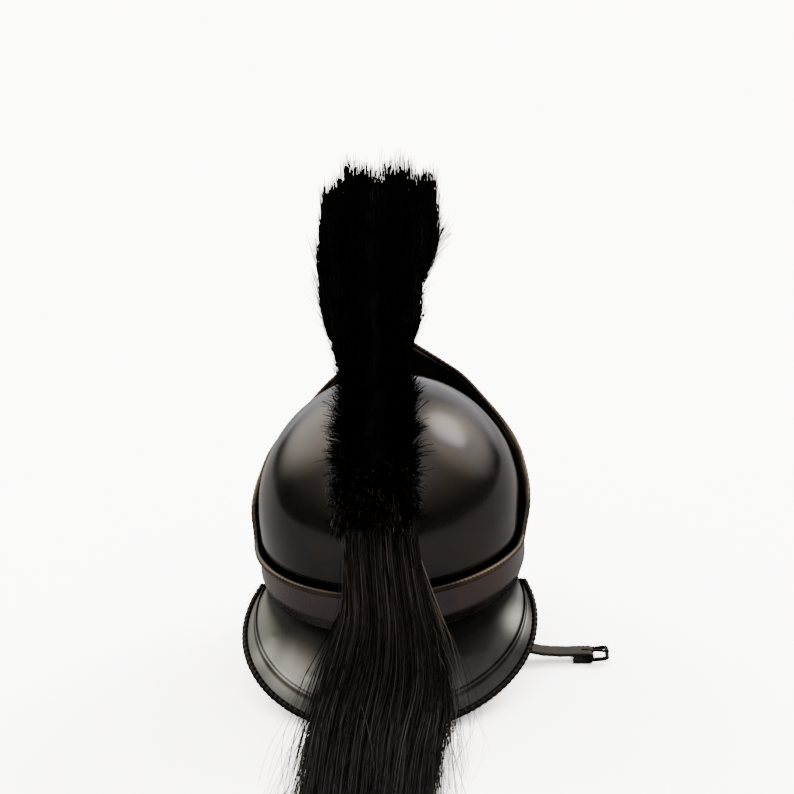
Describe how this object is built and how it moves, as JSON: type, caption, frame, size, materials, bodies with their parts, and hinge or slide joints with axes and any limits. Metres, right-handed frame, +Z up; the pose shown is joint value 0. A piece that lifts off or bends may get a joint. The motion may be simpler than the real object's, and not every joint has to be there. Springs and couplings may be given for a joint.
{
  "type": "plumed helmet",
  "caption": "Open-faced dark steel helmet with a domed crown, peaked brow plate, cheek plates, flared neck guard, upright black horsehair crest and long tail.",
  "frame": {"origin": "on the floor, under the middle of the helmet and its tail without the chin strap", "axes": "+Z up; the face opening looks to -Y; the tail lies towards +Y; +X is the wearer's left"},
  "size_m": [0.2841, 0.441, 0.4],
  "materials": {
    "blackened steel": "blackened and polished",
    "dark rolled steel": "blackened, roped",
    "satin steel": "dark, satin",
    "holder steel": "blackened, plain",
    "crest horsehair": "black hair",
    "tail horsehair": "black-brown hair",
    "olive strap leather": "worn, matt",
    "black buckle iron": "blackened"
  },
  "bodies": {
    "root": {"skull_dome": "blackened steel", "face_wall": "blackened steel", "brow_roll": "dark rolled steel", "neck_guard": "satin steel", "guard_roll": "dark rolled steel", "crest_holder": "holder steel", "crest_brush": "crest horsehair", "horsehair_tail": "tail horsehair", "strap_left": "olive strap leather", "strap_right": "olive strap leather", "strap_pin_left": "black buckle iron", "strap_pin_right": "black buckle iron", "buckle_frame": "black buckle iron", "buckle_prong": "black buckle iron"}
  },
  "joints": []
}
